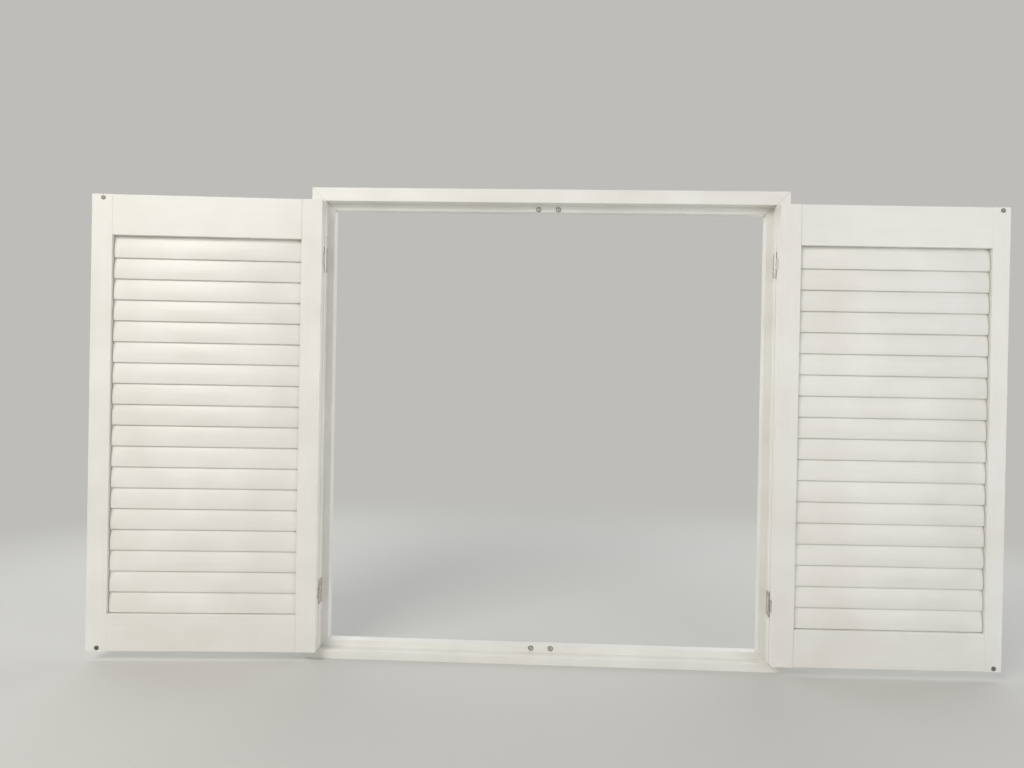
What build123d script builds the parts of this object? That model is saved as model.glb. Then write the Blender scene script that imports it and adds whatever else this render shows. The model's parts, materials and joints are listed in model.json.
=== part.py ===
from build123d import *
from dataclasses import dataclass
from math import cos, radians, sin
import os

# A pair of louvred window shutters, side-hung in their own rebated frame.
# Millimetres, +Z up, +Y into the wall. The origin is the middle of the frame's underside,
# in the plane of the wall's face. Both leaves stand folded back and their louvres are closed.

# Louvre blades
slat_count = 18
slat_pitch = 54
slat_width = 63.5
slat_thickness = 11
slat_nose_radius = 1.5
slat_length = 479
slat_end_gap = 1.5
slat_tip_gap = 1.5
closed_tilt = 8  # degrees between a closed blade and the vertical

# End pins of the louvres
pivot_radius = 2.5
pivot_length = 8
pivot_clearance = 0.08
pivot_end_gap = 1

# Stiles and rails of a leaf
leaf_thickness = 28
stile_width = 53
top_rail_height = 104
bottom_rail_height = 96
arris_radius = 1.5
lip_overlap = 5.3
lip_setback = 0.6

# Rebate where the two leaves meet
meeting_rebate = 9
seam_gap = 3
rebate_play = 1.5

# Tenons of the rails
tenon_length = 25
tenon_thickness = 9
tenon_shoulder = 18
tenon_clearance = 0.15

# Tilt rod, and the staples that link it to the louvres
rod_width = 14
rod_thickness = 10
rod_round = 3.5
rod_end_chamfer = 1
rod_top_overrun = 15
rod_bottom_overrun = 30
rod_standoff = 3.2
staple_wire = 1.2
staple_reach = 3.85
staple_gap = 4
staple_embed = 6
link_play = 0.5

# Arched notch in the top rail that takes the end of the tilt rod
notch_side_gap = 7
notch_top_gap = 5
notch_depth_gap = 1

# Frame
face_width = 36
face_thickness = 20
reveal_thickness = 18
sill_face_width = 22
rebate_depth = 31
stop_width = 18
stop_thickness = 29
frame_arris = 2
end_gap = 4.5

# Hinges
hinge_gap = 3
hinge_from_end = 150
barrel_radius = 3
barrel_offset = 3.2
hinge_pin_radius = 1.5
hinge_pin_clearance = 0.05
pin_head_radius = 2.4
pin_head_height = 1.2
plate_thickness = 1.2
plate_corner = 3
large_plate_height = 64
large_plate_depth = 25
small_plate_height = 31
small_plate_depth = 18
knuckle_gap = 0.4
nest_gap = 0.8
small_screw_spread = 18

# Countersunk screws
screw_radius = 1.4
screw_length = 14
screw_clearance = 0.1
countersink_angle = 90

# Magnets on the stops, and strike discs on the leaves
catch_from_centre = 26
magnet_radius = 6.5
magnet_thickness = 1.8
magnet_inset = 11
strike_radius = 6
strike_thickness = 1
strike_chamfer = 0.4
strike_inset = 8.5

# Fixing holes through the jambs
fixing_count = 3
fixing_pitch = 500
fixing_radius = 2.5
fixing_head_radius = 5
fixing_stop_margin = 0.5

# How far each leaf stands open, in degrees
left_open = 176
right_open = 181.5

# Heights and widths of a leaf, measured from its lower end and from its hinge axis
tilt = radians(closed_tilt)
pivot_to_floor = slat_width / 2 * cos(tilt) + slat_tip_gap
pivot_to_lip = slat_width / 2 * cos(tilt) - lip_overlap
first_pivot = bottom_rail_height + pivot_to_floor
pivot_heights = [first_pivot + number * slat_pitch for number in range(slat_count)]
top_rail_bottom = pivot_heights[-1] + pivot_to_lip
top_rabbet_z = pivot_heights[-1] + pivot_to_floor
leaf_height = top_rail_bottom + top_rail_height
hinge_heights = [hinge_from_end, leaf_height - hinge_from_end]
field_width = slat_length + 2 * slat_end_gap
leaf_width = 2 * stile_width + field_width
hinge_edge = hinge_gap / 2
field_start = hinge_edge + stile_width
field_end = field_start + field_width
field_middle = field_start + field_width / 2
free_edge = field_end + stile_width

# Depths of a leaf, measured from its hinge axis towards the window
room_face = barrel_offset
window_face = room_face + leaf_thickness
mid_depth = room_face + leaf_thickness / 2
staple_radius = slat_width / 2 + staple_reach
crown_depth = mid_depth - staple_radius * sin(tilt)
crown_rise = staple_radius * cos(tilt)
link_reach = staple_wire + link_play
link_outer = link_reach + staple_wire / 2
link_inner = link_reach - staple_wire / 2
rod_face_depth = crown_depth - rod_standoff
rod_bottom = pivot_heights[0] + crown_rise - rod_bottom_overrun
rod_top = pivot_heights[-1] + crown_rise + rod_top_overrun
notch_radius = rod_width / 2 + notch_side_gap
notch_floor = crown_depth + link_outer + notch_depth_gap
small_screw_depth = (room_face + small_plate_depth) / 2

# Places in the whole object
opening_width = 2 * (hinge_gap + leaf_width) - (meeting_rebate - seam_gap)
opening_height = leaf_height + 2 * end_gap
half_opening = opening_width / 2
opening_top = sill_face_width + opening_height
leaf_bottom = sill_face_width + end_gap
face_y = -face_thickness
stop_y = face_y + rebate_depth
back_y = stop_y + stop_thickness
axis_x = half_opening - hinge_gap / 2
axis_y = face_y - barrel_offset
large_screw_y = (face_y + axis_y + large_plate_depth) / 2
large_screw_spread = (large_plate_height + small_plate_height) / 2
screw_head_radius = screw_radius + plate_thickness
fixing_y = stop_y - fixing_head_radius - fixing_stop_margin
fixing_middle = sill_face_width + opening_height / 2
fixing_heights = [fixing_middle + (number - (fixing_count - 1) / 2) * fixing_pitch
                  for number in range(fixing_count)]
magnet_heights = {"sill": sill_face_width + magnet_inset, "head": opening_top - magnet_inset}


@dataclass(frozen=True)
class Leaf:
    """One leaf's own frame: X runs from the hinge axis to the free edge and Z is up.

    side is the jamb that carries it, and window is the sign of the local Y direction that points
    to the window when the leaf is shut.
    """

    name: str
    side: int
    window: int
    opened: float
    tongue_on_window_side: bool

    @property
    def plane(self):
        turn = radians(self.opened)
        along = (-self.side * cos(turn), -sin(turn), 0)
        return Plane(origin=(self.side * axis_x, axis_y, leaf_bottom), x_dir=along, z_dir=(0, 0, 1))

    def on(self, plane):
        """Place a plane that is given in the leaf's own frame."""
        return Plane(self.plane.location * plane.location)

    def at(self, x, depth, z=0):
        """Local point this far along, this far behind the hinge axis and this high."""
        return (x, self.window * depth, z)

    def edge(self, x, depth, z, facing):
        """Plane that faces along the leaf's X, with its own Y upright."""
        return self.on(Plane(origin=self.at(x, depth, z), x_dir=(0, facing, 0), z_dir=(facing, 0, 0)))

    def face(self, x, depth, z, facing):
        """Plane that faces the window (1) or the room (-1), with its own Y upright."""
        toward = facing * self.window
        return self.on(Plane(origin=self.at(x, depth, z), x_dir=(-toward, 0, 0), z_dir=(0, toward, 0)))


left = Leaf("left", -1, 1, left_open, True)
right = Leaf("right", 1, -1, right_open, False)
bottom_span = (0, bottom_rail_height)
top_span = (top_rabbet_z, leaf_height)
rail_spans = [bottom_span, top_span]
pieces = []


def keep(name, builder):
    """Label a finished sub-part and remember it for export."""
    builder.part.label = name
    pieces.append(builder.part)


def mitre(x, z, toward_x, toward_z):
    """Plane of a mitred corner, through a corner of the rebate."""
    return Plane(origin=(x, 0, z), x_dir=(0, 1, 0), z_dir=(toward_x, 0, toward_z))


def rebate_plane(side, y, z):
    """Plane on a jamb's rebate surface, facing into the opening, with its own Y upright."""
    return Plane(origin=(side * half_opening, y, z), x_dir=(0, -side, 0), z_dir=(-side, 0, 0))


def stop_planes(member, proud=0):
    """Planes of the two magnets on the stop of the head or the sill, facing the room."""
    return [Plane(origin=(side * catch_from_centre, stop_y - proud, magnet_heights[member]),
                  x_dir=(1, 0, 0), z_dir=(0, -1, 0)) for side in (-1, 1)]


def build_jamb(name, side):
    """Upright of the frame, with its fixing holes and the pilot holes of the hinge screws."""
    rebate_x = side * half_opening
    stop_x = side * (half_opening - stop_width)
    reveal_x = side * (half_opening + reveal_thickness)
    outer_x = side * (half_opening + face_width)
    with BuildPart() as jamb:
        with BuildSketch() as section:
            with BuildLine():
                Polyline(
                    (rebate_x, face_y),
                    (outer_x, face_y),
                    (outer_x, 0),
                    (reveal_x, 0),
                    (reveal_x, back_y),
                    (stop_x, back_y),
                    (stop_x, stop_y),
                    (rebate_x, stop_y),
                    close=True,
                )
            make_face()
            fillet(section.vertices().group_by(Axis.Y)[0], frame_arris)
            fillet(section.vertices().group_by(Axis.X)[0 if side > 0 else -1], frame_arris)
        extrude(amount=opening_top + face_width)
        split(bisect_by=mitre(rebate_x, opening_top, side, -1), keep=Keep.TOP)
        split(bisect_by=mitre(rebate_x, sill_face_width, side, 1), keep=Keep.TOP)
        with Locations(*[rebate_plane(side, fixing_y, z) for z in fixing_heights]):
            CounterSinkHole(fixing_radius, fixing_head_radius, reveal_thickness, countersink_angle)
        for height in hinge_heights:
            with Locations(rebate_plane(side, large_screw_y, leaf_bottom + height)):
                with GridLocations(0, large_screw_spread, 1, 2):
                    Hole(screw_radius + screw_clearance, screw_length)
    keep(name, jamb)


def build_head():
    """Top member of the frame, mitred to both jambs."""
    with BuildPart() as head:
        with BuildSketch(Plane.YZ) as section:
            with BuildLine():
                Polyline(
                    (face_y, opening_top),
                    (face_y, opening_top + face_width),
                    (0, opening_top + face_width),
                    (0, opening_top + reveal_thickness),
                    (back_y, opening_top + reveal_thickness),
                    (back_y, opening_top - stop_width),
                    (stop_y, opening_top - stop_width),
                    (stop_y, opening_top),
                    close=True,
                )
            make_face()
            fillet(section.vertices().group_by(Axis.X)[0], frame_arris)
            fillet(section.vertices().group_by(Axis.Y)[0], frame_arris)
        extrude(amount=half_opening + face_width, both=True)
        for side in (-1, 1):
            split(bisect_by=mitre(side * half_opening, opening_top, -side, 1), keep=Keep.TOP)
        with Locations(*stop_planes("head")):
            Hole(screw_radius + screw_clearance, screw_length)
    keep("head", head)


def build_sill():
    """Bottom member of the frame, flat underneath, with its ends cut back inside the reveal."""
    stop_top = sill_face_width + stop_width
    with BuildPart() as sill:
        with BuildSketch(Plane.YZ) as section:
            with BuildLine():
                Polyline(
                    (face_y, 0),
                    (face_y, sill_face_width),
                    (stop_y, sill_face_width),
                    (stop_y, stop_top),
                    (back_y, stop_top),
                    (back_y, 0),
                    close=True,
                )
            make_face()
            fillet(section.vertices().group_by(Axis.Y)[-1], frame_arris)
            fillet(section.vertices().group_by(Axis.X)[0].sort_by(Axis.Y)[-1], frame_arris)
        extrude(amount=half_opening + face_width, both=True)
        for side in (-1, 1):
            split(bisect_by=mitre(side * half_opening, sill_face_width, -side, -1), keep=Keep.TOP)
        with BuildSketch():
            Rectangle(opening_width + 2 * face_width, back_y, align=(Align.CENTER, Align.MIN))
            Rectangle(opening_width + 2 * reveal_thickness, back_y, align=(Align.CENTER, Align.MIN),
                      mode=Mode.SUBTRACT)
        extrude(amount=sill_face_width, mode=Mode.SUBTRACT)
        with Locations(*stop_planes("sill")):
            Hole(screw_radius + screw_clearance, screw_length)
    keep("sill", sill)


def drill_pivots(leaf, x, facing):
    """Blind holes for the louvre pins, in the edge of a stile at x."""
    with Locations(*[leaf.edge(x, mid_depth, z, facing) for z in pivot_heights]):
        Hole(pivot_radius + pivot_clearance, pivot_length - slat_end_gap + pivot_end_gap)


def tenon_section(leaf, x, facing, span, clearance=0):
    """Section of the tenon of the rail that spans these heights, or with a clearance its mortise.

    It lies at the shoulder at x, where the edge of the stile faces this way.
    """
    bottom, top = span
    with BuildSketch(leaf.edge(x, mid_depth, (bottom + top) / 2, facing)) as section:
        Rectangle(tenon_thickness + 2 * clearance, top - bottom - 2 * tenon_shoulder + 2 * clearance)
    return section.sketch


def build_hinge_stile(leaf):
    """Upright of a leaf beside the jamb, with pilot holes for the hinge screws."""
    with BuildPart() as stile:
        with BuildSketch(leaf.on(Plane.XY)) as section:
            with Locations(leaf.at(hinge_edge + stile_width / 2, mid_depth)):
                Rectangle(stile_width, leaf_thickness)
            fillet(section.vertices(), arris_radius)
        extrude(amount=leaf_height)
        drill_pivots(leaf, field_start, 1)
        for span in rail_spans:
            extrude(tenon_section(leaf, field_start, 1, span, tenon_clearance),
                    amount=-tenon_length - tenon_clearance, mode=Mode.SUBTRACT)
        for height in hinge_heights:
            with Locations(leaf.edge(hinge_edge, small_screw_depth, height, -1)):
                with GridLocations(0, small_screw_spread, 1, 2):
                    Hole(screw_radius + screw_clearance, screw_length)
    keep(f"{leaf.name}_hinge_stile", stile)


def build_meeting_stile(leaf):
    """Upright at a leaf's free edge, rebated so that the two shut leaves overlap.

    The left leaf keeps its full width on the window side and the right leaf on the room side.
    """
    tongue_face, cut_face, step = window_face, room_face, mid_depth + rebate_play / 2
    if not leaf.tongue_on_window_side:
        tongue_face, cut_face, step = room_face, window_face, mid_depth - rebate_play / 2
    with BuildPart() as stile:
        with BuildSketch(leaf.on(Plane.XY)) as section:
            with BuildLine():
                Polyline(
                    leaf.at(field_end, cut_face),
                    leaf.at(free_edge - meeting_rebate, cut_face),
                    leaf.at(free_edge - meeting_rebate, step),
                    leaf.at(free_edge, step),
                    leaf.at(free_edge, tongue_face),
                    leaf.at(field_end, tongue_face),
                    close=True,
                )
            make_face()
            fillet(section.vertices(), arris_radius)
        extrude(amount=leaf_height)
        drill_pivots(leaf, field_end, -1)
        for span in rail_spans:
            extrude(tenon_section(leaf, field_end, -1, span, tenon_clearance),
                    amount=-tenon_length - tenon_clearance, mode=Mode.SUBTRACT)
    keep(f"{leaf.name}_meeting_stile", stile)


def rail_section(leaf, lip_face, open_face, outer_z, lip_z, rabbet_z):
    """Section of a rail. A rabbet beside the nearest louvre leaves a lip that stops the light."""
    lip_back = mid_depth + (lip_setback if lip_face > open_face else -lip_setback)
    with BuildSketch(leaf.edge(field_start, 0, 0, 1)) as section:
        with BuildLine():
            Polyline(
                (leaf.window * lip_face, outer_z),
                (leaf.window * lip_face, lip_z),
                (leaf.window * lip_back, lip_z),
                (leaf.window * lip_back, rabbet_z),
                (leaf.window * open_face, rabbet_z),
                (leaf.window * open_face, outer_z),
                close=True,
            )
        make_face()
        fillet(section.vertices(), arris_radius)
    return section.sketch


def build_bottom_rail(leaf):
    """Lower rail of a leaf, tenoned into both stiles. Its lip is on the room side."""
    with BuildPart() as rail:
        extrude(rail_section(leaf, room_face, window_face, 0, first_pivot - pivot_to_lip, bottom_rail_height),
                amount=field_width)
        extrude(tenon_section(leaf, field_start, 1, bottom_span), amount=-tenon_length)
        extrude(tenon_section(leaf, field_end, -1, bottom_span), amount=-tenon_length)
    keep(f"{leaf.name}_bottom_rail", rail)


def build_top_rail(leaf):
    """Upper rail of a leaf, tenoned into both stiles.

    Its lip is on the window side, and an arched notch on the room side takes the tilt rod.
    """
    arch_z = rod_top + notch_top_gap - notch_radius
    with BuildPart() as rail:
        extrude(rail_section(leaf, window_face, room_face, leaf_height, top_rail_bottom, top_rabbet_z),
                amount=field_width)
        extrude(tenon_section(leaf, field_start, 1, top_span), amount=-tenon_length)
        extrude(tenon_section(leaf, field_end, -1, top_span), amount=-tenon_length)
        with BuildSketch(leaf.face(field_middle, room_face, arch_z, -1)):
            Circle(notch_radius)
            Rectangle(2 * notch_radius, arch_z - top_rail_bottom, align=(Align.CENTER, Align.MAX))
        extrude(amount=room_face - notch_floor, mode=Mode.SUBTRACT)
    keep(f"{leaf.name}_top_rail", rail)


def build_slat(leaf, number, height):
    """Louvre blade with its end pins, and the staple in its room edge that the tilt rod holds.

    The crown of the staple is round, and the rod turns on it.
    """
    room_edge = (0, -leaf.window * sin(tilt), cos(tilt))
    blade_normal = (0, -cos(tilt), -leaf.window * sin(tilt))
    blade_end = Plane(origin=leaf.at(field_start + slat_end_gap, mid_depth, height),
                      x_dir=room_edge, z_dir=(1, 0, 0))
    staple_middle = Plane(origin=leaf.at(field_middle, mid_depth, height), x_dir=(1, 0, 0),
                          z_dir=blade_normal)
    crown_end = Plane(origin=leaf.at(field_middle - staple_gap / 2 - staple_wire, mid_depth, height),
                      x_dir=room_edge, z_dir=(1, 0, 0))
    nose_x = slat_width / 2 - slat_nose_radius
    with BuildPart() as slat:
        with BuildSketch(leaf.on(blade_end)):
            with BuildLine():
                ThreePointArc((-nose_x, slat_nose_radius), (0, slat_thickness / 2),
                              (nose_x, slat_nose_radius))
                ThreePointArc((nose_x, slat_nose_radius), (slat_width / 2, 0),
                              (nose_x, -slat_nose_radius))
                ThreePointArc((nose_x, -slat_nose_radius), (0, -slat_thickness / 2),
                              (-nose_x, -slat_nose_radius))
                ThreePointArc((-nose_x, -slat_nose_radius), (-slat_width / 2, 0),
                              (-nose_x, slat_nose_radius))
            make_face()
        extrude(amount=slat_length)
        with BuildSketch(leaf.on(blade_end.offset(-pivot_length))):
            Circle(pivot_radius)
        extrude(amount=slat_length + 2 * pivot_length)
        with BuildSketch(leaf.on(staple_middle)):
            with Locations((0, staple_radius)):
                with GridLocations(staple_gap + staple_wire, 0, 2, 1):
                    Rectangle(staple_wire, staple_reach + staple_embed, align=(Align.CENTER, Align.MAX))
        extrude(amount=staple_wire / 2, both=True)
        with BuildSketch(leaf.on(crown_end)):
            with Locations((staple_radius, 0)):
                Circle(staple_wire / 2)
        extrude(amount=staple_gap + 2 * staple_wire)
    keep(f"{leaf.name}_slat_{number:02d}", slat)


def build_tilt_rod(leaf):
    """Upright rod on the room side, with one staple linked through the staple of each louvre."""
    with BuildPart() as rod:
        with BuildSketch(leaf.on(Plane.XY.offset(rod_bottom))) as section:
            with Locations(leaf.at(field_middle, rod_face_depth - rod_thickness / 2)):
                Rectangle(rod_width, rod_thickness)
            fillet(section.vertices().group_by(Axis.Y)[0 if leaf.window > 0 else -1], rod_round)
        extrude(amount=rod_top - rod_bottom)
        chamfer(rod.faces().filter_by(Axis.Z).edges(), rod_end_chamfer)
        middle_height = (pivot_heights[0] + pivot_heights[-1]) / 2 + crown_rise
        with BuildSketch(leaf.edge(field_middle, crown_depth, middle_height, 1)):
            align = (Align.MAX if leaf.window > 0 else Align.MIN, Align.CENTER)
            with GridLocations(0, slat_pitch, 1, slat_count):
                with Locations((leaf.window * link_outer, 0)):
                    Rectangle(link_outer + rod_standoff + staple_embed, 2 * link_outer, align=align)
                with Locations((leaf.window * link_inner, 0)):
                    Rectangle(link_inner + rod_standoff + staple_embed, 2 * link_inner, align=align,
                              mode=Mode.SUBTRACT)
        extrude(amount=staple_wire / 2, both=True)
    keep(f"{leaf.name}_tilt_rod", rod)


def build_frame_hinge_leaves():
    """Large hinge leaves on the jambs. Each has two knuckles and a cut-out for the small leaf."""
    knuckle_start = small_plate_height / 2 + knuckle_gap
    knuckle_length = large_plate_height / 2 - knuckle_start
    with BuildPart() as leaves:
        for leaf in (left, right):
            for height in hinge_heights:
                z = leaf_bottom + height
                toward_wall = -leaf.side
                with BuildSketch(rebate_plane(leaf.side, axis_y, z)) as plate:
                    depth_align = (Align.MIN if toward_wall > 0 else Align.MAX, Align.CENTER)
                    Rectangle(large_plate_depth, large_plate_height, align=depth_align)
                    fillet(plate.vertices().group_by(Axis.X)[-1 if toward_wall > 0 else 0], plate_corner)
                    Rectangle(small_plate_depth + nest_gap, small_plate_height + 2 * nest_gap,
                              align=depth_align, mode=Mode.SUBTRACT)
                extrude(amount=plate_thickness)
                for end in (-1, 1):
                    knuckle_base = Plane(origin=(leaf.side * axis_x, axis_y, z + end * knuckle_start),
                                         z_dir=(0, 0, end))
                    with BuildSketch(knuckle_base):
                        Circle(barrel_radius)
                    extrude(amount=knuckle_length)
                with BuildSketch(Plane(origin=(leaf.side * axis_x, axis_y, z))):
                    Circle(hinge_pin_radius)
                extrude(amount=large_plate_height / 2, both=True, mode=Mode.SUBTRACT)
                with Locations(rebate_plane(leaf.side, large_screw_y, z).offset(plate_thickness)):
                    with GridLocations(0, large_screw_spread, 1, 2):
                        CounterSinkHole(screw_radius + screw_clearance, screw_head_radius + screw_clearance,
                                        plate_thickness, countersink_angle)
    keep("frame_hinge_leaves", leaves)


def build_panel_hinge_leaves(leaf):
    """Small hinge leaves on the edge of a leaf's hinge stile, with one knuckle each."""
    with BuildPart() as leaves:
        for height in hinge_heights:
            with BuildSketch(leaf.edge(hinge_edge, 0, height, -1)) as plate:
                depth_align = (Align.MAX if leaf.window > 0 else Align.MIN, Align.CENTER)
                Rectangle(small_plate_depth, small_plate_height, align=depth_align)
                fillet(plate.vertices().group_by(Axis.X)[0 if leaf.window > 0 else -1], plate_corner)
            extrude(amount=plate_thickness)
            with BuildSketch(leaf.on(Plane.XY.offset(height))):
                Circle(barrel_radius)
            extrude(amount=small_plate_height / 2, both=True)
            with BuildSketch(leaf.on(Plane.XY.offset(height))):
                Circle(hinge_pin_radius + hinge_pin_clearance)
            extrude(amount=small_plate_height / 2, both=True, mode=Mode.SUBTRACT)
            with Locations(leaf.edge(hinge_edge - plate_thickness, small_screw_depth, height, -1)):
                with GridLocations(0, small_screw_spread, 1, 2):
                    CounterSinkHole(screw_radius + screw_clearance, screw_head_radius + screw_clearance,
                                    plate_thickness, countersink_angle)
    keep(f"{leaf.name}_hinge_leaves", leaves)


def build_hinge_pins():
    """Hinge pins, each with a round head that rests on the upper knuckle."""
    with BuildPart() as pins:
        for leaf in (left, right):
            for height in hinge_heights:
                top = Plane(origin=(leaf.side * axis_x, axis_y,
                                    leaf_bottom + height + large_plate_height / 2))
                with BuildSketch(top):
                    Circle(hinge_pin_radius)
                extrude(amount=-large_plate_height)
                with BuildSketch(top):
                    Circle(pin_head_radius)
                extrude(amount=pin_head_height)
    keep("hinge_pins", pins)


def build_screws(name, heads):
    """One countersunk screw at each of these planes, which lie flush with the screw heads."""
    with BuildPart() as screws:
        with Locations(*heads):
            Cone(screw_radius, screw_head_radius, plate_thickness,
                 align=(Align.CENTER, Align.CENTER, Align.MAX))
            Cylinder(screw_radius, screw_length - plate_thickness,
                     align=(Align.CENTER, Align.CENTER, Align.MAX))
    keep(name, screws)


def frame_screw_heads():
    """Heads of the screws in the large hinge leaves and in the magnets."""
    heads = stop_planes("head", magnet_thickness) + stop_planes("sill", magnet_thickness)
    for side in (-1, 1):
        for height in hinge_heights:
            for end in (-1, 1):
                z = leaf_bottom + height + end * large_screw_spread / 2
                heads.append(rebate_plane(side, large_screw_y, z).offset(plate_thickness))
    return heads


def leaf_screw_heads(leaf):
    """Heads of the screws in a leaf's small hinge leaves."""
    return [leaf.edge(hinge_edge - plate_thickness, small_screw_depth,
                      height + end * small_screw_spread / 2, -1)
            for height in hinge_heights for end in (-1, 1)]


def build_magnets():
    """Round catch magnets on the stops, countersunk for their screws."""
    with BuildPart() as magnets:
        with Locations(*stop_planes("head"), *stop_planes("sill")):
            Cylinder(magnet_radius, magnet_thickness, align=(Align.CENTER, Align.CENTER, Align.MIN))
        with Locations(*stop_planes("head", magnet_thickness), *stop_planes("sill", magnet_thickness)):
            CounterSinkHole(screw_radius + screw_clearance, screw_head_radius + screw_clearance,
                            magnet_thickness, countersink_angle)
    keep("catch_magnets", magnets)


def build_strikes(leaf):
    """Steel strike discs on the window side of a leaf, opposite the magnets when it is shut."""
    with BuildPart() as strikes:
        for height in (strike_inset, leaf_height - strike_inset):
            strike_plane = leaf.face(axis_x - catch_from_centre, window_face, height, 1)
            with BuildSketch(strike_plane):
                Circle(strike_radius)
            extrude(amount=strike_thickness)
            chamfer(strikes.edges(Select.LAST).group_by(SortBy.LENGTH)[-1], strike_chamfer)
    keep(f"{leaf.name}_strikes", strikes)


def build_leaf(leaf):
    """Everything that swings with one leaf."""
    build_hinge_stile(leaf)
    build_meeting_stile(leaf)
    build_top_rail(leaf)
    build_bottom_rail(leaf)
    for number, height in enumerate(pivot_heights, start=1):
        build_slat(leaf, number, height)
    build_tilt_rod(leaf)
    build_panel_hinge_leaves(leaf)
    build_screws(f"{leaf.name}_hinge_screws", leaf_screw_heads(leaf))
    build_strikes(leaf)


build_head()
build_sill()
build_jamb("left_jamb", -1)
build_jamb("right_jamb", 1)
build_frame_hinge_leaves()
build_hinge_pins()
build_magnets()
build_screws("frame_screws", frame_screw_heads())
build_leaf(left)
build_leaf(right)

os.makedirs("parts", exist_ok=True)
for piece in pieces:
    export_step(piece, f"parts/{piece.label}.step")
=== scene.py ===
"""Looks of a pair of louvred shutters, hung in their own rebated frame.

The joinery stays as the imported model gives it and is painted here. The louvre blades, tilt rods,
pins, screws, catches and strikes are shaped here, each where its node stands.
"""
import json
import logging
import math
from abc import ABC, abstractmethod
from collections.abc import Callable
from dataclasses import dataclass, field
from enum import Enum
from functools import partial

import bpy
import numpy as np
from mathutils import Matrix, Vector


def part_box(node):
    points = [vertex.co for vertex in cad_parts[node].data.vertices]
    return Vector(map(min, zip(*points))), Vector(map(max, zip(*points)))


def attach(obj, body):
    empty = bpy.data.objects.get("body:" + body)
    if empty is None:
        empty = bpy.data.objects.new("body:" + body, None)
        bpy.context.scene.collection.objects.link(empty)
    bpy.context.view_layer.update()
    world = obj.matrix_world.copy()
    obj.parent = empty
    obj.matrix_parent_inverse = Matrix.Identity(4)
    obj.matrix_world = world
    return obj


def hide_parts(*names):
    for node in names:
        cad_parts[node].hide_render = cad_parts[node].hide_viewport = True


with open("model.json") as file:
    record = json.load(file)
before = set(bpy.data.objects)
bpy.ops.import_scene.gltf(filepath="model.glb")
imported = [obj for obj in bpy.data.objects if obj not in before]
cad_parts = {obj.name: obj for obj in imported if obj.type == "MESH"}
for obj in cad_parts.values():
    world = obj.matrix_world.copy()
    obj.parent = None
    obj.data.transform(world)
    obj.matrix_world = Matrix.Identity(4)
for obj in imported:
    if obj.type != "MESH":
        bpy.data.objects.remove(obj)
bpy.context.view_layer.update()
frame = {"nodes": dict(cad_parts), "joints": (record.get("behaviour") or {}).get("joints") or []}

Material = bpy.types.Material
Node = bpy.types.Node
Socket = bpy.types.NodeSocket
Tree = bpy.types.NodeTree

MM = 0.001
MICROMETRE_DIGITS = 6
JOINT_BY_CHILD = {joint["child"]: joint for joint in frame["joints"]}
LOG = logging.getLogger("shutters")

# Directions as seen from the room. Forward is out of the frame, towards the room.
RIGHT = np.array((1.0, 0.0, 0.0))
FORWARD = np.array((0.0, -1.0, 0.0))
BACKWARD = np.array((0.0, 1.0, 0.0))
UP = np.array((0.0, 0.0, 1.0))

# Number of the louvre that the others of its leaf follow. Its staple carries the rod's joint.
LEAD_LOUVRE = 9

# Most of a noise pattern's values lie between these two.
NOISE_LOW = 0.3
NOISE_HIGH = 0.7

# How many points round stretches get.
ARC_POINTS = 15
NOSE_POINTS = 8
CORNER_POINTS = 6
BEND_POINTS = 5
WIRE_POINTS = 8

# The smallest radius that a rod's corner is drawn in to.
LEAST_RADIUS = 0.05 * MM

# Colour of the backdrop where it fades to an even tone.
BACKDROP = "#BEBDB9"


class Grain(Enum):
    """Which way a painted member runs, and its brush marks with it."""

    UPRIGHT = "upright"
    LEVEL = "level"


class Hand(Enum):
    """Which jamb carries a leaf."""

    LEFT = "left"
    RIGHT = "right"


# Places


def pivot_of(body: str) -> np.ndarray:
    """Point that a body's joint turns about."""
    return np.array(JOINT_BY_CHILD[body]["pos_m"])


@dataclass(frozen=True)
class LeafPlace:
    """Where one leaf stands, with its own directions.

    Attributes:
        name: What the names of the leaf's nodes start with.
        hinge: Point on the hinge's axis.
        along: Direction from the hinge to the free edge.
        depth: Direction to the outer side, which faces outdoors when the leaf is shut.
        low: Level of the leaf's underside.
        high: Level of its top.
        slats: Names of its louvres, from the lowest up.
    """

    name: str
    hinge: np.ndarray
    along: np.ndarray
    depth: np.ndarray
    low: float
    high: float
    slats: tuple[str, ...]

    @classmethod
    def read(cls, hand: Hand) -> "LeafPlace":
        """Read a leaf's place from its joints and the box of its hinge stile.

        Args:
            hand: Which leaf.

        Returns:
            The leaf's place.
        """
        name = hand.value
        hinge = pivot_of(f"{name}_panel")
        slats = tuple(sorted(body for body in JOINT_BY_CHILD if body.startswith(f"{name}_slat_")))
        lead = slats[LEAD_LOUVRE - 1]
        reach = pivot_of(lead) - hinge
        along = np.array(JOINT_BY_CHILD[lead]["axis"], dtype=float)
        along *= np.sign(along @ reach)
        depth = np.cross(UP, along)
        depth *= np.sign(depth @ reach)
        lowest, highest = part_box(f"{name}_hinge_stile")
        return cls(name, hinge, along, depth, lowest[2], highest[2], slats)

    @property
    def angle(self) -> float:
        """Angle of the leaf's length from the X axis, about the vertical."""
        return math.atan2(self.along[1], self.along[0])

    def at(self, x: float, depth: float, z: float) -> np.ndarray:
        """Point this far along, this far behind the hinge axis and at this height above the floor."""
        return np.array((self.hinge[0], self.hinge[1], 0.0)) + x * self.along + depth * self.depth + z * UP

    def hinge_levels(self, from_end: float) -> list[float]:
        """Heights of the leaf's two hinges above the floor."""
        return [self.low + from_end, self.high - from_end]


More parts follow.
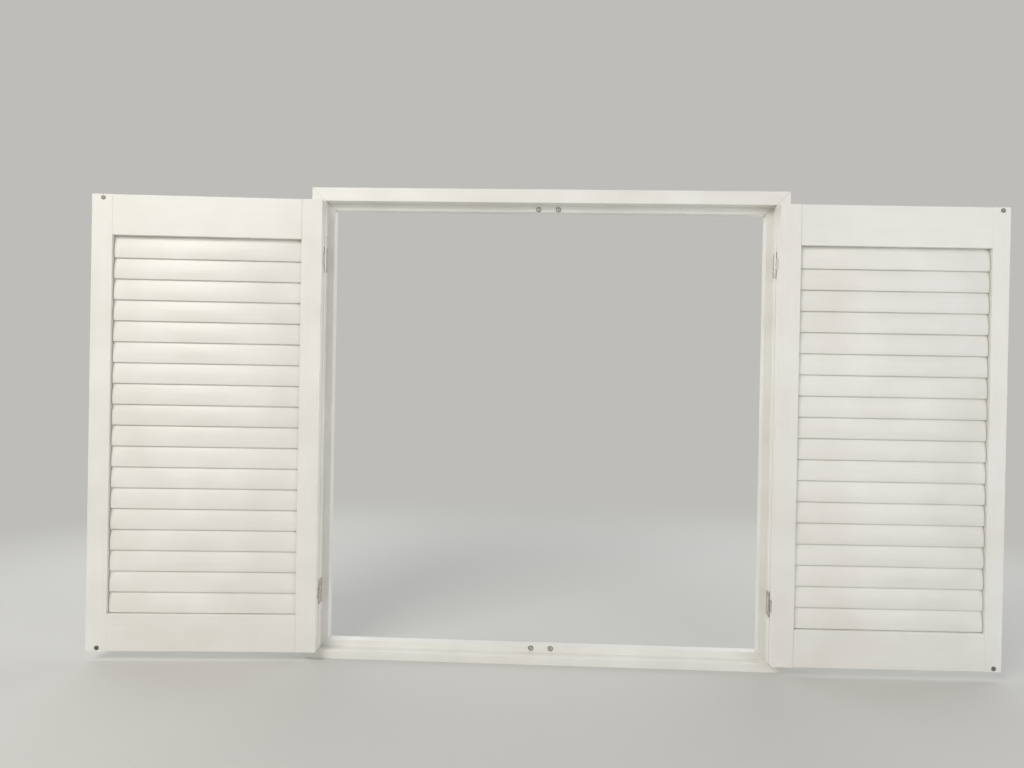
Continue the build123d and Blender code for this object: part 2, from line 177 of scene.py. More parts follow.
@dataclass(frozen=True)
class Opening:
    """The frame's opening: half its width, and the levels of its bottom and top."""

    half: float
    low: float
    high: float

    @classmethod
    def read(cls, face: float = 36 * MM, sill_face: float = 22 * MM) -> "Opening":
        """Read the opening from the frame's outside, less the faces of its members.

        Args:
            face: Width of the face of the head and the jambs.
            sill_face: Width of the face of the sill.

        Returns:
            The opening, to the micrometre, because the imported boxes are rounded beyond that.
        """
        bottom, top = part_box("sill")[0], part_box("head")[1]
        edges = (top[0] - face, bottom[2] + sill_face, top[2] - face)
        return cls(*(round(edge, MICROMETRE_DIGITS) for edge in edges))


# Finishes


def linear(code: str) -> tuple[float, float, float, float]:
    """Turn an sRGB hex code into the linear colour that a shader socket takes.

    Args:
        code: Six hex digits with a leading hash.

    Returns:
        Red, green, blue and an alpha of one.
    """
    parts = [int(code[place:place + 2], 16) / 255 for place in (1, 3, 5)]
    light = [part / 12.92 if part <= 0.04045 else ((part + 0.055) / 1.055) ** 2.4 for part in parts]
    return (light[0], light[1], light[2], 1.0)


def add_node(tree: Tree, kind: str, values: dict | None = None, links: dict | None = None,
             **settings: object) -> Node:
    """Add one node with its settings, socket values and incoming links.

    Args:
        tree: The tree that the node joins.
        kind: The node's type name.
        values: Socket name or number to value.
        links: Socket name or number to the output that feeds it.
        settings: The node's own properties.

    Returns:
        The new node.
    """
    node = tree.nodes.new(kind)
    for name, setting in settings.items():
        setattr(node, name, setting)
    for name, value in (values or {}).items():
        node.inputs[name].default_value = value
    for name, output in (links or {}).items():
        tree.links.new(output, node.inputs[name])
    return node


def set_stops(shade: Node, *stops: tuple[float, str]) -> None:
    """Set the stops of a colour ramp.

    Args:
        shade: The ramp's node.
        stops: Place and sRGB hex code of each stop, in order.
    """
    for stop, (place, code) in zip(shade.color_ramp.elements, stops):
        stop.position = place
        stop.color = linear(code)


def seen_ray(tree: Tree) -> Socket:
    """Tell the rays that show a backdrop from those that only carry light.

    Args:
        tree: The tree of a backdrop or of the sky.

    Returns:
        One for a camera, mirror or clear ray, and nought for any other.
    """
    path = add_node(tree, "ShaderNodeLightPath")
    total = path.outputs["Is Camera Ray"]
    for name in ("Is Glossy Ray", "Is Transmission Ray"):
        total = add_node(tree, "ShaderNodeMath", links={0: total, 1: path.outputs[name]},
                         operation="MAXIMUM").outputs["Value"]
    return total


@dataclass(frozen=True)
class Finish(ABC):
    """A named finish, whose material is made when it is first asked for."""

    name: str

    def material(self) -> Material:
        """Make the material, or give it back if it is made already.

        Returns:
            The material of this finish.
        """
        made = bpy.data.materials.get(self.name)
        if made:
            return made
        material = bpy.data.materials.new(self.name)
        material.use_nodes = True
        tree = material.node_tree
        tree.nodes.clear()
        shader = add_node(tree, "ShaderNodeBsdfPrincipled")
        place = add_node(tree, "ShaderNodeTexCoord").outputs["Object"]
        add_node(tree, "ShaderNodeOutputMaterial", links={"Surface": self.draw(tree, shader, place)})
        return material

    @abstractmethod
    def draw(self, tree: Tree, shader: Node, place: Socket) -> Socket:
        """Add the finish's own nodes.

        Args:
            tree: The material's tree.
            shader: Its surface shader.
            place: Object coordinates.

        Returns:
            The output that the surface shows.
        """


@dataclass(frozen=True)
class SatinPaint(Finish):
    """Satin water-based paint, laid on timber with a brush along each member.

    It gives the eye a warm white with a low sheen, faint brush marks along the wood and a slight
    unevenness from hand to hand, with the soft stipple of a rolled undercoat below.

    Attributes:
        grain: Which way the member runs.
        turn: How far the member is turned about the vertical.
        opening: The frame's opening, at whose corners the mitres start, or nothing where the member
            has none.
        crack_half: Half the width at which a mitre's line is darkest.
        crack_fade: Distance from a mitre at which its line has faded out.
    """

    grain: Grain
    turn: float = 0.0
    opening: Opening | None = None
    pale: str = "#F1F0EB"
    deep: str = "#E6E4DD"
    deep_below: float = 0.35
    pale_above: float = 0.95
    mottle: float = 140 * MM
    # Real brush marks are about 1 mm apart. They are drawn at 5 mm, so that they show from 2 m.
    mark_width: float = 5 * MM
    mark_length: float = 260 * MM
    mark_weight: float = 0.35
    # Real stipple is about 1.5 mm, drawn at 3.5 mm for the same reason.
    stipple: float = 3.5 * MM
    stipple_weight: float = 0.4
    relief: float = 0.4 * MM
    relief_strength: float = 0.35
    sheen_low: float = 0.34
    sheen_high: float = 0.46
    ior: float = 1.49
    # A real crack is about 0.3 mm wide. It is drawn at about 1 mm, so that it shows from 2 m.
    crack_half: float = 0.25 * MM
    crack_fade: float = 0.9 * MM
    crack_depth: float = 0.45
    crack_colour: str = "#6F6A60"

    def draw(self, tree: Tree, shader: Node, place: Socket) -> Socket:
        """Add the nodes of the brush marks, the unevenness, the stipple and the mitre lines.

        Args:
            tree: The paint's tree.
            shader: Its surface shader.
            place: Object coordinates.

        Returns:
            The output that the surface shows.
        """
        lined = add_node(tree, "ShaderNodeMapping", {"Rotation": (0, 0, -self.turn)}, {"Vector": place})
        along, across = 1 / self.mark_length, 1 / self.mark_width
        stretch = (across, across, along) if self.grain is Grain.UPRIGHT else (along, across, across)
        run = add_node(tree, "ShaderNodeMapping", {"Scale": stretch}, {"Vector": lined.outputs["Vector"]})
        marks = add_node(tree, "ShaderNodeTexNoise", {"Scale": 1.0, "Detail": 3.0, "Roughness": 0.55},
                         {"Vector": run.outputs["Vector"]})
        patches = add_node(tree, "ShaderNodeTexNoise", {"Scale": 1 / self.mottle, "Detail": 2.0},
                           {"Vector": lined.outputs["Vector"]})
        grit = add_node(tree, "ShaderNodeTexNoise", {"Scale": 1 / self.stipple, "Detail": 1.0},
                        {"Vector": lined.outputs["Vector"]})
        blend = add_node(tree, "ShaderNodeMath", {1: self.mark_weight},
                         {0: marks.outputs["Fac"], 2: patches.outputs["Fac"]}, operation="MULTIPLY_ADD")
        shade = add_node(tree, "ShaderNodeValToRGB", links={"Fac": blend.outputs["Value"]})
        set_stops(shade, (self.deep_below, self.deep), (self.pale_above, self.pale))
        colour = shade.outputs["Color"]
        if self.opening:
            colour = self.draw_mitres(tree, place, colour, self.opening)
        tree.links.new(colour, shader.inputs["Base Color"])
        sheen = add_node(tree, "ShaderNodeMapRange",
                         {"From Min": NOISE_LOW, "From Max": NOISE_HIGH,
                          "To Min": self.sheen_low, "To Max": self.sheen_high},
                         {"Value": patches.outputs["Fac"]})
        tree.links.new(sheen.outputs["Result"], shader.inputs["Roughness"])
        height = add_node(tree, "ShaderNodeMath", {1: self.stipple_weight},
                          {0: grit.outputs["Fac"], 2: marks.outputs["Fac"]}, operation="MULTIPLY_ADD")
        bump = add_node(tree, "ShaderNodeBump", {"Strength": self.relief_strength, "Distance": self.relief},
                        {"Height": height.outputs["Value"]})
        tree.links.new(bump.outputs["Normal"], shader.inputs["Normal"])
        shader.inputs["IOR"].default_value = self.ior
        return shader.outputs["BSDF"]

    def draw_mitres(self, tree: Tree, place: Socket, colour: Socket, opening: Opening) -> Socket:
        """Darken the paint where it has cracked along the mitres of the frame.

        The distance from a mitre is the gap between how far a point is outside the opening sideways
        and how far it is outside it in height.

        Args:
            tree: The paint's tree.
            place: Object coordinates.
            colour: The paint's colour without the lines.
            opening: The frame's opening.

        Returns:
            The colour with the lines.
        """
        axes = add_node(tree, "ShaderNodeSeparateXYZ", links={"Vector": place})
        side = add_node(tree, "ShaderNodeMath", links={0: axes.outputs["X"]}, operation="ABSOLUTE")
        out = add_node(tree, "ShaderNodeMath", {1: opening.half}, {0: side.outputs["Value"]},
                       operation="SUBTRACT")
        gaps = []
        for level, operation in ((opening.high, "SUBTRACT"), (opening.low, "ADD")):
            rise = add_node(tree, "ShaderNodeMath", {1: level}, {0: axes.outputs["Z"]},
                            operation="SUBTRACT")
            gap = add_node(tree, "ShaderNodeMath",
                           links={0: out.outputs["Value"], 1: rise.outputs["Value"]}, operation=operation)
            size = add_node(tree, "ShaderNodeMath", links={0: gap.outputs["Value"]}, operation="ABSOLUTE")
            gaps.append(size.outputs["Value"])
        near = add_node(tree, "ShaderNodeMath", links={0: gaps[0], 1: gaps[1]}, operation="MINIMUM")
        line = add_node(tree, "ShaderNodeMapRange",
                        {"From Min": self.crack_half, "From Max": self.crack_fade,
                         "To Min": self.crack_depth, "To Max": 0.0},
                        {"Value": near.outputs["Value"]})
        # A colour mix takes its two colours at sockets 6 and 7 and gives the result at output 2.
        mix = add_node(tree, "ShaderNodeMix", {7: linear(self.crack_colour)},
                       {0: line.outputs["Result"], 6: colour}, data_type="RGBA")
        return mix.outputs[2]


@dataclass(frozen=True)
class PlatedMetal(Finish):
    """Steel with a thin plated skin, such as zinc or nickel.

    It gives the eye a metal whose gloss varies in clouds, with fine handling scratches.

    Attributes:
        cloud: Size of the clouds.
        scratch: Width of the scratches.
        scratch_squeeze: How far the pattern of the scratches is squeezed upright. They are drawn out
            by one over this.
    """

    pale: str
    deep: str
    rough_low: float
    rough_high: float
    cloud: float = 4 * MM
    scratch: float = 0.6 * MM
    scratch_squeeze: float = 0.15
    deep_below: float = 0.32
    pale_above: float = 0.66
    relief: float = 0.05 * MM
    relief_strength: float = 0.15

    def draw(self, tree: Tree, shader: Node, place: Socket) -> Socket:
        """Add the nodes of the clouds and the scratches.

        Args:
            tree: The plating's tree.
            shader: Its surface shader.
            place: Object coordinates.

        Returns:
            The output that the surface shows.
        """
        cloud = add_node(tree, "ShaderNodeTexNoise", {"Scale": 1 / self.cloud, "Detail": 3.0},
                         {"Vector": place})
        drawn = add_node(tree, "ShaderNodeMapping", {"Scale": (1.0, 1.0, self.scratch_squeeze)},
                         {"Vector": place})
        lines = add_node(tree, "ShaderNodeTexNoise", {"Scale": 1 / self.scratch, "Detail": 2.0},
                         {"Vector": drawn.outputs["Vector"]})
        shade = add_node(tree, "ShaderNodeValToRGB", links={"Fac": cloud.outputs["Fac"]})
        set_stops(shade, (self.deep_below, self.deep), (self.pale_above, self.pale))
        tree.links.new(shade.outputs["Color"], shader.inputs["Base Color"])
        gloss = add_node(tree, "ShaderNodeMapRange",
                         {"From Min": NOISE_LOW, "From Max": NOISE_HIGH,
                          "To Min": self.rough_low, "To Max": self.rough_high},
                         {"Value": lines.outputs["Fac"]})
        tree.links.new(gloss.outputs["Result"], shader.inputs["Roughness"])
        bump = add_node(tree, "ShaderNodeBump", {"Strength": self.relief_strength, "Distance": self.relief},
                        {"Height": lines.outputs["Fac"]})
        tree.links.new(bump.outputs["Normal"], shader.inputs["Normal"])
        shader.inputs["Metallic"].default_value = 1.0
        return shader.outputs["BSDF"]


@dataclass(frozen=True)
class MouldedNylon(Finish):
    """Injection-moulded white nylon, as in the end pins of the louvres.

    It gives the eye a milky, slightly waxy white.
    """

    name: str = "moulded_white_nylon"
    pale: str = "#ECEAE2"
    deep: str = "#E0DDD2"
    flow: float = 6 * MM
    rough_low: float = 0.38
    rough_high: float = 0.52
    ior: float = 1.53
    milkiness: float = 0.08
    milk_depth: float = 1.5 * MM

    def draw(self, tree: Tree, shader: Node, place: Socket) -> Socket:
        """Add the nodes of the flow marks and the milkiness.

        Args:
            tree: The nylon's tree.
            shader: Its surface shader.
            place: Object coordinates.

        Returns:
            The output that the surface shows.
        """
        flow = add_node(tree, "ShaderNodeTexNoise", {"Scale": 1 / self.flow, "Detail": 2.0},
                        {"Vector": place})
        shade = add_node(tree, "ShaderNodeValToRGB", links={"Fac": flow.outputs["Fac"]})
        set_stops(shade, (0, self.deep), (1, self.pale))
        tree.links.new(shade.outputs["Color"], shader.inputs["Base Color"])
        gloss = add_node(tree, "ShaderNodeMapRange", {"To Min": self.rough_low, "To Max": self.rough_high},
                         {"Value": flow.outputs["Fac"]})
        tree.links.new(gloss.outputs["Result"], shader.inputs["Roughness"])
        shader.inputs["IOR"].default_value = self.ior
        shader.inputs["Subsurface Weight"].default_value = self.milkiness
        shader.inputs["Subsurface Scale"].default_value = self.milk_depth
        return shader.outputs["BSDF"]


@dataclass(frozen=True)
class SeamlessPaper(Finish):
    """Matt seamless paper of the studio, a little uneven over a metre or so.

    It gives the eye a plain pale floor, which fades into the even backdrop with distance.

    Attributes:
        fade_start: Distance from the middle at which it starts to fade.
        fade_end: Distance from which only the backdrop shows.
    """

    name: str = "seamless_paper"
    pale: str = "#D6D5D1"
    deep: str = "#D1D0CB"
    cloud: float = 1 / 0.9
    roughness: float = 0.85
    gloss: float = 0.25
    fade_start: float = 1.4
    fade_end: float = 3.0

    def draw(self, tree: Tree, shader: Node, place: Socket) -> Socket:
        """Add the nodes of the unevenness and of the fading.

        Args:
            tree: The paper's tree.
            shader: Its surface shader.
            place: Object coordinates.

        Returns:
            The output that the surface shows.
        """
        cloud = add_node(tree, "ShaderNodeTexNoise", {"Scale": 1 / self.cloud, "Detail": 1.0},
                         {"Vector": place})
        shade = add_node(tree, "ShaderNodeValToRGB", links={"Fac": cloud.outputs["Fac"]})
        set_stops(shade, (0, self.deep), (1, self.pale))
        tree.links.new(shade.outputs["Color"], shader.inputs["Base Color"])
        shader.inputs["Roughness"].default_value = self.roughness
        shader.inputs["Specular IOR Level"].default_value = self.gloss
        axes = add_node(tree, "ShaderNodeSeparateXYZ", links={"Vector": place})
        flat = add_node(tree, "ShaderNodeCombineXYZ",
                        links={"X": axes.outputs["X"], "Y": axes.outputs["Y"]})
        reach = add_node(tree, "ShaderNodeVectorMath", links={0: flat.outputs["Vector"]},
                         operation="LENGTH")
        far = add_node(tree, "ShaderNodeMapRange", {"From Min": self.fade_start, "From Max": self.fade_end},
                       {"Value": reach.outputs["Value"]}, interpolation_type="SMOOTHSTEP")
        seen = add_node(tree, "ShaderNodeMath", links={0: far.outputs["Result"], 1: seen_ray(tree)},
                        operation="MULTIPLY")
        glow = add_node(tree, "ShaderNodeEmission", {"Color": linear(BACKDROP), "Strength": 1.0})
        mix = add_node(tree, "ShaderNodeMixShader",
                       links={0: seen.outputs["Value"], 1: shader.outputs["BSDF"],
                              2: glow.outputs["Emission"]})
        return mix.outputs["Shader"]


ZINC = PlatedMetal("bright_zinc_plate", "#C4C3BD", "#A3A29B", 0.24, 0.40)
WIRE = PlatedMetal("galvanised_staple_wire", "#B7B6B0", "#94938C", 0.30, 0.46)
CUP = PlatedMetal("dark_nickel_cup", "#56544F", "#3B3936", 0.28, 0.42)
POLE_FACE = PlatedMetal("nickel_pole_face", "#ECEAE4", "#D8D5CE", 0.32, 0.48)
STRIKE = PlatedMetal("dark_plated_steel_strike", "#8A8882", "#6C6A64", 0.32, 0.48)
HINGE = PlatedMetal("satin_nickel_hinge_plate", "#D9D6D0", "#C0BDB6", 0.30, 0.44, 9 * MM, 1.2 * MM)
NYLON = MouldedNylon()


# Surfaces


def add_object(name: str, data: bpy.types.ID) -> bpy.types.Object:
    """Add an object with this data to the scene.

    Args:
        name: Name of the object.
        data: Its mesh, lamp or camera.

    Returns:
        The new object, at the origin.
    """
    made = bpy.data.objects.new(name, data)
    bpy.context.scene.collection.objects.link(made)
    return made


@dataclass
class Shell:
    """Closed surfaces gathered into one piece, each with its finish.

    Attributes:
        points: One array of points for each surface.
        faces: Corner numbers of every face.
        finishes: The finish number of every face.
        count: How many points there are so far.
    """

    points: list[np.ndarray] = field(default_factory=list)
    faces: list[list[int]] = field(default_factory=list)
    finishes: list[int] = field(default_factory=list)
    count: int = 0

    def add(self, rings: np.ndarray, finish: int = 0) -> None:
        """Add a closed surface that is carried through rings of points.

        Neighbouring rings are joined by quads, and each end by triangles to the middle of its ring.
        Six times the signed volume is the sum over the triangles of a corner times the cross product
        of the other two. Where it is negative, the faces are turned over, so that they point outwards.

        Args:
            rings: Array of shape (rings, points in a ring, 3).
            finish: Number of the finish.
        """
        steps, around, _ = rings.shape
        corner = np.arange(steps * around).reshape(steps, around)
        following = np.roll(corner, -1, axis=1)
        quads = np.stack((corner[:-1], following[:-1], following[1:], corner[1:]), axis=-1).reshape(-1, 4)
        first, last = steps * around, steps * around + 1
        start = np.stack((following[0], corner[0], np.full(around, first)), axis=-1)
        end = np.stack((corner[-1], following[-1], np.full(around, last)), axis=-1)
        points = np.vstack((rings.reshape(-1, 3), rings[0].mean(axis=0), rings[-1].mean(axis=0)))
        triangles = np.vstack((quads[:, [0, 1, 2]], quads[:, [0, 2, 3]], start, end))
        centred = points - points.mean(axis=0)
        a, b, c = (centred[triangles[:, place]] for place in range(3))
        if np.einsum("ij,ij->", a, np.cross(b, c)) < 0:
            quads, start, end = quads[:, ::-1], start[:, ::-1], end[:, ::-1]
        for block in (quads, start, end):
            self.faces.extend((block + self.count).tolist())
            self.finishes.extend([finish] * len(block))
        self.points.append(points)
        self.count += len(points)

    def piece(self, name: str, finishes: list[Material], crease: float = 32.0) -> bpy.types.Object:
        """Make one object of all the surfaces.

        Args:
            name: Name of the piece.
            finishes: Materials, in the order of the finish numbers.
            crease: Angle in degrees above which an edge is drawn sharp.

        Returns:
            The new object, at the origin.
        """
        mesh = bpy.data.meshes.new(name)
        mesh.from_pydata(np.vstack(self.points).tolist(), [], self.faces)
        for finish in finishes:
            mesh.materials.append(finish)
        mesh.polygons.foreach_set("material_index", np.array(self.finishes, dtype=np.int32))
        mesh.shade_smooth()
        mesh.set_sharp_from_angle(angle=math.radians(crease))
        mesh.update()
        return add_object(name, mesh)


def place_on(origin: np.ndarray, across: np.ndarray, over: np.ndarray, out: np.ndarray,
             local: np.ndarray) -> np.ndarray:
    """Carry local points into the object's own space: origin plus each coordinate times its axis.

    Args:
        origin: Where the local origin stands.
        across: Direction of the first local axis.
        over: Direction of the second.
        out: Direction of the third.
        local: Array of local points, whose last axis is three long.

    Returns:
        The carried points, in an array of the same shape.
    """
    return origin + local @ np.stack((across, over, out))


def even_angles(around: int) -> np.ndarray:
    """Angles that divide a whole turn evenly: each one's number times the turn's share, from nought."""
    return np.arange(around) * (2 * math.pi / around)


def lathe(profile: np.ndarray, around: int) -> np.ndarray:
    """Turn a profile about the local third axis.

    A point at radius r and height h goes to (r cos a, r sin a, h), for angles a spaced evenly.

    Args:
        profile: Array of (radius, height), from the start to the end of the turning.
        around: Number of points in a ring.

    Returns:
        Rings of local points.
    """
    angle = even_angles(around)
    radius, height = profile[:, 0, None], profile[:, 1, None]
    return np.stack((radius * np.cos(angle), radius * np.sin(angle), height + 0 * angle), axis=-1)


def turned_rim(radius: float, height: float,
               steps: tuple[tuple[float, float], ...]) -> list[tuple[float, float]]:
    """Profile of a turned rim: the radius less each step's distance in, and the height less its depth.

    Args:
        radius: Of the turning.
        height: Of its top.
        steps: In millimetres, how far in from the radius and how far below the top each point is.

    Returns:
        Points of (radius, height).
    """
    return [(radius - inward * MM, height - below * MM) for inward, below in steps]


def bent_wire(corners: np.ndarray, bend: float, radius: float, side: np.ndarray) -> np.ndarray:
    """Carry a circle along a flat path whose corners are rounded.

    Each inner corner becomes a curve between two points, one on each of its runs. At share t of the
    way, it is the sum of (1 - t)^2 of the first point, 2 t (1 - t) of the corner and t^2 of the second
    point. At each point of the path the circle lies in the plane of the side direction and of the
    normal to the path within its plane.

    Args:
        corners: Points of the path, with the two ends.
        bend: Distance from a corner at which its curve starts and ends.
        radius: Radius of the wire.
        side: Unit vector square to the path's plane.

    Returns:
        Rings of points.
    """
    step = np.linspace(0, 1, BEND_POINTS)[:, None]
    path = [corners[:1]]
    for before, here, after in zip(corners[:-2], corners[1:-1], corners[2:]):
        come = here + (before - here) / np.linalg.norm(before - here) * bend
        leave = here + (after - here) / np.linalg.norm(after - here) * bend
        path.append((1 - step) ** 2 * come + 2 * step * (1 - step) * here + step ** 2 * leave)
    path.append(corners[-1:])
    line = np.vstack(path)
    heading = np.gradient(line, axis=0)
    heading /= np.linalg.norm(heading, axis=1, keepdims=True)
    normal = np.cross(heading, side)
    angle = even_angles(WIRE_POINTS)
    ring = normal[:, None] * np.cos(angle)[:, None] + side * np.sin(angle)[:, None]
    return line[:, None] + radius * ring


def lens_section(width: float, thickness: float, nose: float, inset: float) -> np.ndarray:
    """Section of a louvre blade: two shallow arcs that run into round noses without a kink.

    The arcs have the radius R at which a nose circle touches them from inside:
    R = ((width/2 - nose)^2 + thickness^2/4 - nose^2) / (thickness - 2 nose). An inset draws every
    point in along its own radius.

    Args:
        width: From nose to nose.
        thickness: At the middle.
        nose: Radius of the noses.
        inset: How far the outline is drawn in.

    Returns:
        Points of (distance along the blade's width, distance from its middle plane).
    """
    reach = width / 2 - nose
    radius = (reach ** 2 + thickness ** 2 / 4 - nose ** 2) / (thickness - 2 * nose)
    drop = radius - thickness / 2
    touch = math.atan2(drop, reach)
    face = np.linspace(touch, math.pi - touch, ARC_POINTS)
    tip = np.linspace(-touch, touch, NOSE_POINTS)[1:-1]
    upper = np.stack(((radius - inset) * np.cos(face), (radius - inset) * np.sin(face) - drop), axis=-1)
    right = np.stack((reach + (nose - inset) * np.cos(tip), (nose - inset) * np.sin(tip)), axis=-1)
    return np.vstack((right, upper, -right, -upper))


def rounded_section(width: float, thickness: float, front: float, back: float, inset: float) -> np.ndarray:
    """Section of a rod: a rectangle with a large radius at its front corners and a small one at its back.

    A corner is a quarter circle about a centre that stands its radius inside both edges.

    Args:
        width: Across the rod.
        thickness: From front to back. The back lies on zero and the front on minus the thickness.
        front: Radius of the front corners.
        back: Radius of the back corners.
        inset: How much less the radii of the corners get.

    Returns:
        Points of (across, from front to back).
    """
    quarter = np.linspace(0, math.pi / 2, CORNER_POINTS)
    back_level, front_level = -back, front - thickness
    corners = ((1, back_level, back), (-1, back_level, back),
               (-1, front_level, front), (1, front_level, front))
    arcs = []
    for turn, (side, level, radius) in enumerate(corners):
        centre = np.array((side * (width / 2 - radius), level))
        angle = quarter + turn * math.pi / 2
        reach = max(radius - inset, LEAST_RADIUS)
        arcs.append(centre + reach * np.stack((np.cos(angle), np.sin(angle)), axis=-1))
    return np.vstack(arcs)


def eased_prism(outline: Callable[[float], np.ndarray], ease: float,
                easing: tuple[tuple[float, float], ...], length: float) -> np.ndarray:
    """Carry an outline along a length, drawn in towards both of its ends.

    Args:
        outline: Gives the points of the outline drawn in by an inset.
        ease: How far from an end the easing reaches, and how far the end's outline is drawn in.
        easing: From the end inwards, where a ring stands and how far it is drawn in, as shares of it.
        length: From end to end.

    Returns:
        Rings of local points, whose third coordinate runs along the length from its middle.
    """
    outlines = [outline(drawn * ease) for _, drawn in easing]
    places = [start * ease - length / 2 for start, _ in easing]
    flat = np.stack(outlines + outlines[::-1])
    height = np.array(places + [-place for place in reversed(places)])
    return np.concatenate((flat, height[:, None, None] + np.zeros((1, flat.shape[1], 1))), axis=-1)


# Pieces


def leaf_paint(leaf: LeafPlace, grain: Grain) -> Material:
    """Paint of a leaf's members, turned so that its brush marks follow the leaf."""
    return SatinPaint(f"satin_white_{leaf.name}_leaf_{grain.value}", grain, leaf.angle).material()


@dataclass(frozen=True)
class Joinery:
    """Frame members, stiles and rails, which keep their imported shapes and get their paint."""

    leaves: tuple[LeafPlace, ...]
    opening: Opening

    def paint(self, node: str, finish: Material) -> None:
        """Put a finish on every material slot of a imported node."""
        for holder in frame["nodes"][node].material_slots:
            holder.material = finish

    def dress(self) -> None:
        """Paint the frame and both leaves."""
        members = {Grain.UPRIGHT: ("left_jamb", "right_jamb"), Grain.LEVEL: ("head", "sill")}
        for grain, nodes in members.items():
            paint = SatinPaint(f"satin_white_brushed_{grain.value}", grain, opening=self.opening).material()
            for node in nodes:
                self.paint(node, paint)
        self.paint("frame_hinge_leaves", HINGE.material())
        for leaf in self.leaves:
            stile, rail = leaf_paint(leaf, Grain.UPRIGHT), leaf_paint(leaf, Grain.LEVEL)
            for node in ("hinge_stile", "meeting_stile"):
                self.paint(f"{leaf.name}_{node}", stile)
            for node in ("top_rail", "bottom_rail"):
                self.paint(f"{leaf.name}_{node}", rail)
            self.paint(f"{leaf.name}_hinge_leaves", HINGE.material())
        LOG.info("joinery painted")


@dataclass(frozen=True)
class LouvreBlades:
    """Blades of one leaf, each with nylon end pins and a wire staple in its room edge.

    Attributes:
        closed_tilt: Angle in degrees at which a shut blade leans from the leaf's plane.
        ease: How far the rounding of a blade's end reaches.
        easing: Shape of that rounding, in shares of it.
        collar_sunk: How far the collar starts inside the blade.
        collar_straight: Share of the collar's height below its bevel.
        staple_wire: Radius of the staple's wire.
        staple_half: Half the distance between the staple's legs.
        staple_reach: Distance from the pivot to the middle of the wire at the staple's crown.
        staple_root: Distance from the pivot at which the staple's legs start, inside the blade.
    """

    leaf: LeafPlace
    width: float = 63.5 * MM
    thickness: float = 11 * MM
    nose: float = 1.5 * MM
    length: float = 479 * MM
    closed_tilt: float = 8.0
    ease: float = 0.8 * MM
    easing: tuple[tuple[float, float], ...] = ((0.0, 1.0), (0.3, 0.35), (1.0, 0.0))
    pin_radius: float = 2.5 * MM
    pin_length: float = 8 * MM
    pin_ease: float = 0.6 * MM
    pin_sides: int = 20
    collar_radius: float = 4 * MM
    collar_height: float = 1.1 * MM
    collar_sunk: float = 0.5 * MM
    collar_straight: float = 0.8
    collar_bevel: float = 0.2 * MM
    staple_wire: float = 0.6 * MM
    staple_half: float = 2.6 * MM
    staple_reach: float = 35.6 * MM
    staple_root: float = 25.75 * MM
    staple_bend: float = 1.3 * MM

    def blade_rings(self) -> np.ndarray:
        """Rings of a blade about its own middle: across its width, through it and along it."""
        outline = partial(lens_section, self.width, self.thickness, self.nose)
        return eased_prism(outline, self.ease, self.easing, self.length)

    def pin_rings(self) -> np.ndarray:
        """Rings of an end pin with its collar: a stepped profile that is turned about the blade's length.

        Returns:
            Rings of local points.
        """
        end = self.length / 2
        profile = np.array((
            (self.collar_radius, end - self.collar_sunk),
            (self.collar_radius, end + self.collar_straight * self.collar_height),
            (self.collar_radius - self.collar_bevel, end + self.collar_height),
            (self.pin_radius, end + self.collar_height),
            (self.pin_radius, end + self.pin_length - self.pin_ease),
            (self.pin_radius - self.pin_ease, end + self.pin_length),
        ))
        return lathe(profile, self.pin_sides)

    def build(self) -> None:
        """Build every blade of the leaf."""
        paint = leaf_paint(self.leaf, Grain.LEVEL)
        tilt = math.radians(self.closed_tilt)
        edge = math.cos(tilt) * UP - math.sin(tilt) * self.leaf.depth
        normal = np.cross(self.leaf.along, edge)
        blade, pin = self.blade_rings(), self.pin_rings()
        foot, crown = self.staple_root * edge, self.staple_reach * edge
        spread = self.staple_half * self.leaf.along
        for node in self.leaf.slats:
            pivot = pivot_of(node)
            shell = Shell()
            shell.add(place_on(pivot, edge, normal, self.leaf.along, blade))
            for side in (1, -1):
                shell.add(place_on(pivot, edge, normal, side * self.leaf.along, pin), finish=1)
            corners = pivot + np.stack((foot - spread, crown - spread, crown + spread, foot + spread))
            shell.add(bent_wire(corners, self.staple_bend, self.staple_wire, normal), finish=2)
            piece = shell.piece(node + "_blade", [paint, NYLON.material(), WIRE.material()])
            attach(piece, node)
            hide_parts(node)
        LOG.info("%s louvre blades: %d", self.leaf.name, len(self.leaf.slats))


